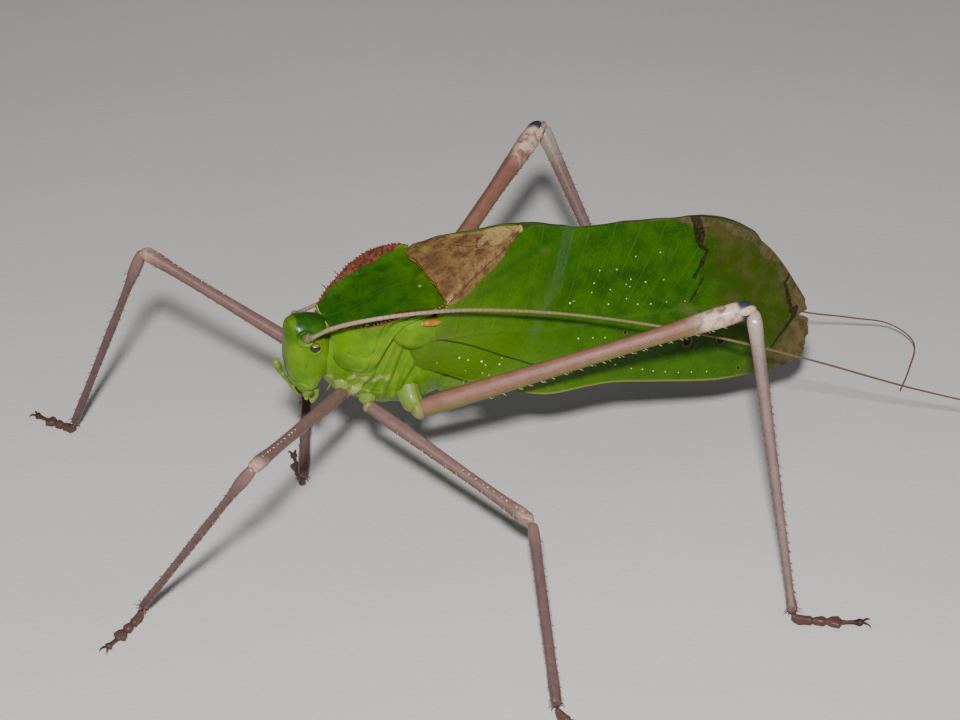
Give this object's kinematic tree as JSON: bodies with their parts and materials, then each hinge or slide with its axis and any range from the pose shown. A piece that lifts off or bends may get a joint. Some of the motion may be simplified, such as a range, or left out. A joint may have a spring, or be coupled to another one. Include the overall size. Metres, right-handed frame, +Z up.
{
  "type": "giant malaysian katydid",
  "caption": "Still life-size model of a leaf-winged bush cricket standing on its feet, long feelers swept back along its folded wings.",
  "frame": {"origin": "centre of the bounding box, at floor level under the feet", "axes": "+X towards the tail, so the head points to -X; the animal's left side is -Y; +Z up"},
  "size_m": [0.2432, 0.1548, 0.0674],
  "materials": {
    "leaf_green": "satin, leathery",
    "bright_green": "satin",
    "dry_brown": "dry, matt",
    "pale_membrane": "matt",
    "leg_mauve": "satin",
    "foot_dark": "satin",
    "feeler_pink": "satin",
    "eye_dark": "glossy"
  },
  "bodies": {
    "root": {"abdomen": "bright_green", "thorax": "bright_green", "pronotum": "bright_green", "head": "bright_green", "eye_left": "eye_dark", "eye_right": "eye_dark", "labrum": "bright_green", "mandible_left": "bright_green", "mandible_right": "bright_green", "palp_left": "bright_green", "palp_right": "bright_green", "cercus_left": "bright_green", "cercus_right": "bright_green", "antenna_left_scape": "feeler_pink", "antenna_left_near": "feeler_pink", "antenna_left_middle": "feeler_pink", "antenna_left_far": "feeler_pink", "antenna_right_scape": "feeler_pink", "antenna_right_near": "feeler_pink", "antenna_right_middle": "feeler_pink", "antenna_right_far": "feeler_pink", "coxa_fore_left": "bright_green", "coxa_fore_right": "bright_green", "coxa_mid_left": "bright_green", "coxa_mid_right": "bright_green", "coxa_hind_left": "bright_green", "coxa_hind_right": "bright_green", "femur_fore_left": "leg_mauve", "femur_fore_right": "leg_mauve", "femur_mid_left": "leg_mauve", "femur_mid_right": "leg_mauve", "femur_hind_left": "leg_mauve", "femur_hind_right": "leg_mauve", "tibia_fore_left": "leg_mauve", "tibia_fore_right": "leg_mauve", "tibia_mid_left": "leg_mauve", "tibia_mid_right": "leg_mauve", "tibia_hind_left": "leg_mauve", "tibia_hind_right": "leg_mauve", "tarsus_fore_left": "foot_dark", "tarsus_fore_right": "foot_dark", "tarsus_mid_left": "foot_dark", "tarsus_mid_right": "foot_dark", "tarsus_hind_left": "foot_dark", "tarsus_hind_right": "foot_dark", "tegmen_left": "leaf_green", "tegmen_left_song_field": "dry_brown", "tegmen_right": "leaf_green", "hindwing_left": "pale_membrane", "hindwing_right": "pale_membrane"}
  },
  "joints": []
}
